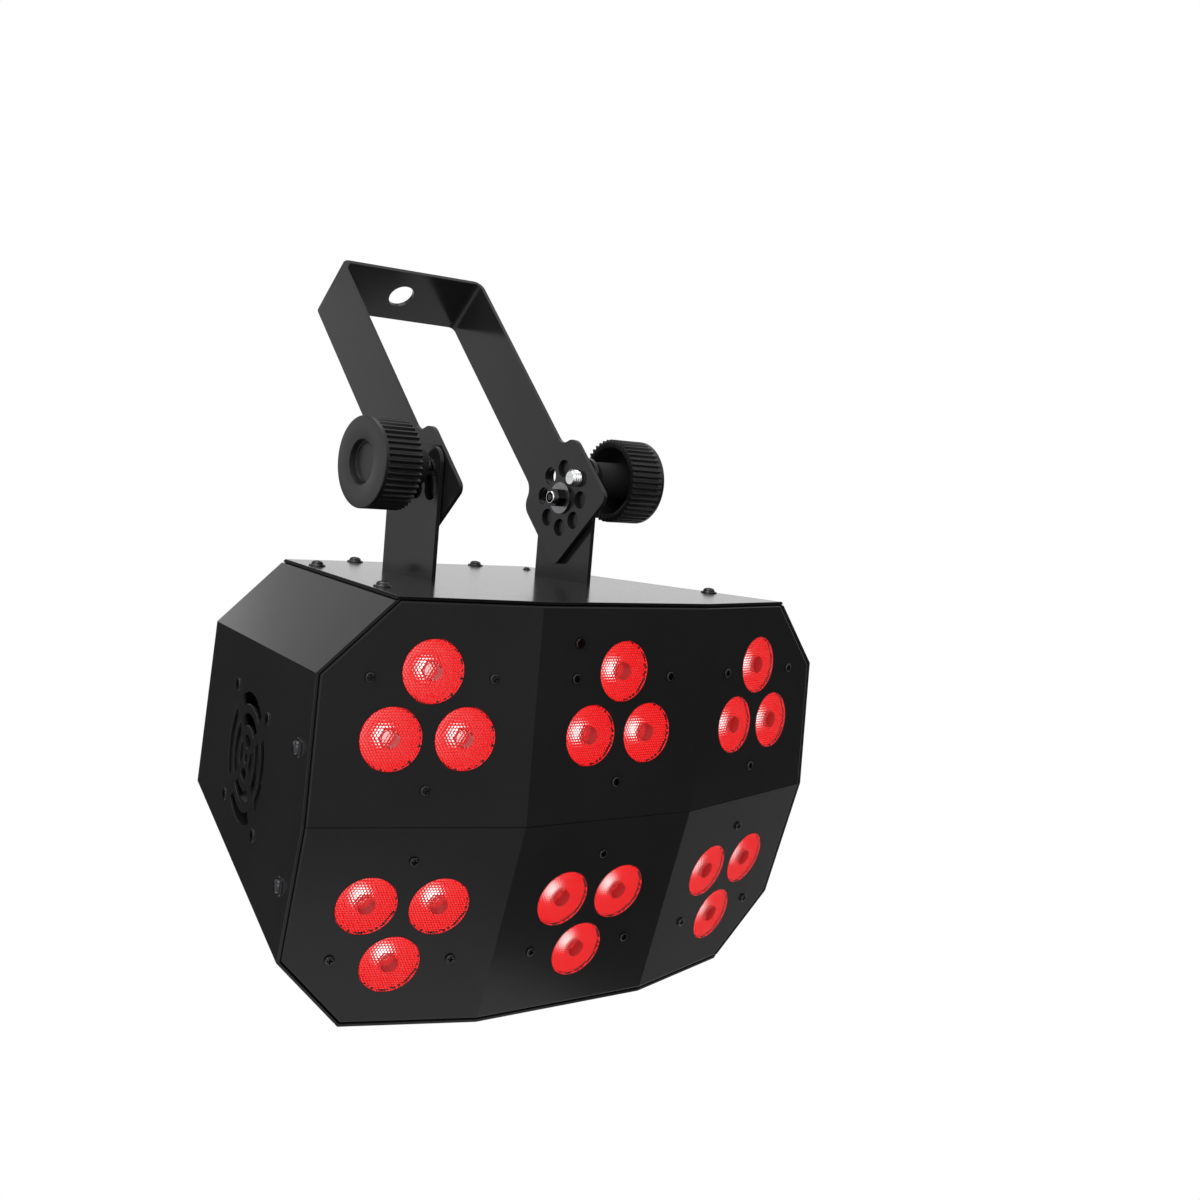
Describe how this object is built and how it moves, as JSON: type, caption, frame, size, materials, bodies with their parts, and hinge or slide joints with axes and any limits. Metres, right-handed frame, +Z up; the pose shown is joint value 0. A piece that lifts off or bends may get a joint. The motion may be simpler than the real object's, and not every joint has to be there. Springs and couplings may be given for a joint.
{
  "type": "led wash light",
  "caption": "Stage wash light: a faceted black sheet-metal housing of round lenses, hung from a U-shaped tilting yoke with two locking knobs.",
  "frame": {"origin": "centre of the hanging hole, in the middle of the crossbar sheet of the yoke", "axes": "+Z up with the top plate level, -Y out of the lit front, +X to the right seen from the front"},
  "size_m": [0.27, 0.2079, 0.3225],
  "materials": {
    "black_paint": "satin",
    "black_plastic": "matte",
    "red_lens": "gloss",
    "emitter": "gloss",
    "white_board": "satin",
    "green_board": "satin",
    "bare_aluminium": "satin",
    "steel": "gloss",
    "black_screw": "gloss",
    "black_metal_shell": "satin",
    "button_plastic": "matte",
    "display_glass": "gloss",
    "dark_lens": "gloss"
  },
  "bodies": {
    "yoke": {"yoke": "black_paint", "friction_discs": "black_plastic"},
    "housing": {"back_panel": "black_paint", "back_screws": "black_screw", "bottom_plate": "black_paint", "bottom_screws": "black_screw", "display_board": "green_board", "display_window": "display_glass", "emitters": "emitter", "fan_frame": "black_plastic", "fan_screws": "black_screw", "front_screws_lower": "black_screw", "front_screws_upper": "black_screw", "fuse_holder": "black_plastic", "heatsinks_lower": "bare_aluminium", "heatsinks_upper": "bare_aluminium", "infrared_eye": "dark_lens", "led_boards_lower": "white_board", "led_boards_upper": "white_board", "lens_holders_lower": "black_plastic", "lens_holders_upper": "black_plastic", "lens_lower_centre": "red_lens", "lens_lower_left": "red_lens", "lens_lower_right": "red_lens", "lens_upper_centre": "red_lens", "lens_upper_left": "red_lens", "lens_upper_right": "red_lens", "lower_front_panel": "black_paint", "main_control_board": "green_board", "pivot_bolts": "black_screw", "pivot_bushings": "steel", "pivot_nuts": "steel", "pivot_washers": "black_paint", "power_inlet": "black_plastic", "power_outlet": "black_plastic", "power_supply_board": "green_board", "riser_left": "black_paint", "riser_right": "black_paint", "riser_screws": "black_screw", "safety_eye": "black_paint", "side_panel_left": "black_paint", "side_panel_right": "black_paint", "side_screws": "black_screw", "signal_inlet": "black_metal_shell", "signal_outlet": "black_metal_shell", "top_plate": "black_paint", "top_screws": "black_screw", "upper_front_panel": "black_paint"},
    "knob_left": {"knob_left": "black_plastic", "stud_left": "steel"},
    "knob_right": {"knob_right": "black_plastic", "stud_right": "steel"},
    "fan_rotor": {"fan_rotor": "black_plastic"},
    "fuse_cap": {"fuse_cap": "black_plastic"},
    "signal_latch": {"signal_latch": "steel"},
    "menu_button_1": {"menu_button_1": "button_plastic"},
    "menu_button_2": {"menu_button_2": "button_plastic"},
    "menu_button_3": {"menu_button_3": "button_plastic"},
    "menu_button_4": {"menu_button_4": "button_plastic"}
  },
  "joints": [
    {"name": "tilt", "type": "hinge", "parent": "yoke", "child": "housing", "pos_m": [0, -0.09334, -0.09334], "axis": [1, 0, 0], "range_deg": [-45, 45]},
    {"name": "knob_left_turn", "type": "hinge", "parent": "yoke", "child": "knob_left", "pos_m": [-0.06, -0.10329, -0.08338], "axis": [-1, 0, 0], "range_deg": [0, 360]},
    {"name": "knob_right_turn", "type": "hinge", "parent": "yoke", "child": "knob_right", "pos_m": [0.06, -0.10329, -0.08338], "axis": [1, 0, 0], "range_deg": [0, 360]},
    {"name": "fan_spin", "type": "hinge", "parent": "housing", "child": "fan_rotor", "pos_m": [-0.11635, -0.09153, -0.2113], "axis": [-0.9763, 0.2146, 0.0283], "continuous": true},
    {"name": "fuse_cap_turn", "type": "hinge", "parent": "housing", "child": "fuse_cap", "pos_m": [0, -0.01085, -0.23306], "axis": [0, 0.9914, 0.1305], "range_deg": [0, 90]},
    {"name": "signal_latch_push", "type": "slide", "parent": "housing", "child": "signal_latch", "axis": [0, -0.9914, -0.1305], "range_m": [0, 0.0015], "stiffness_N_per_m": 900, "springref_m": -0.001},
    {"name": "menu_button_1_press", "type": "slide", "parent": "housing", "child": "menu_button_1", "axis": [0, -0.9914, -0.1305], "range_m": [0, 0.0008], "stiffness_N_per_m": 1500, "springref_m": -0.0005},
    {"name": "menu_button_2_press", "type": "slide", "parent": "housing", "child": "menu_button_2", "axis": [0, -0.9914, -0.1305], "range_m": [0, 0.0008], "stiffness_N_per_m": 1500, "springref_m": -0.0005},
    {"name": "menu_button_3_press", "type": "slide", "parent": "housing", "child": "menu_button_3", "axis": [0, -0.9914, -0.1305], "range_m": [0, 0.0008], "stiffness_N_per_m": 1500, "springref_m": -0.0005},
    {"name": "menu_button_4_press", "type": "slide", "parent": "housing", "child": "menu_button_4", "axis": [0, -0.9914, -0.1305], "range_m": [0, 0.0008], "stiffness_N_per_m": 1500, "springref_m": -0.0005}
  ]
}
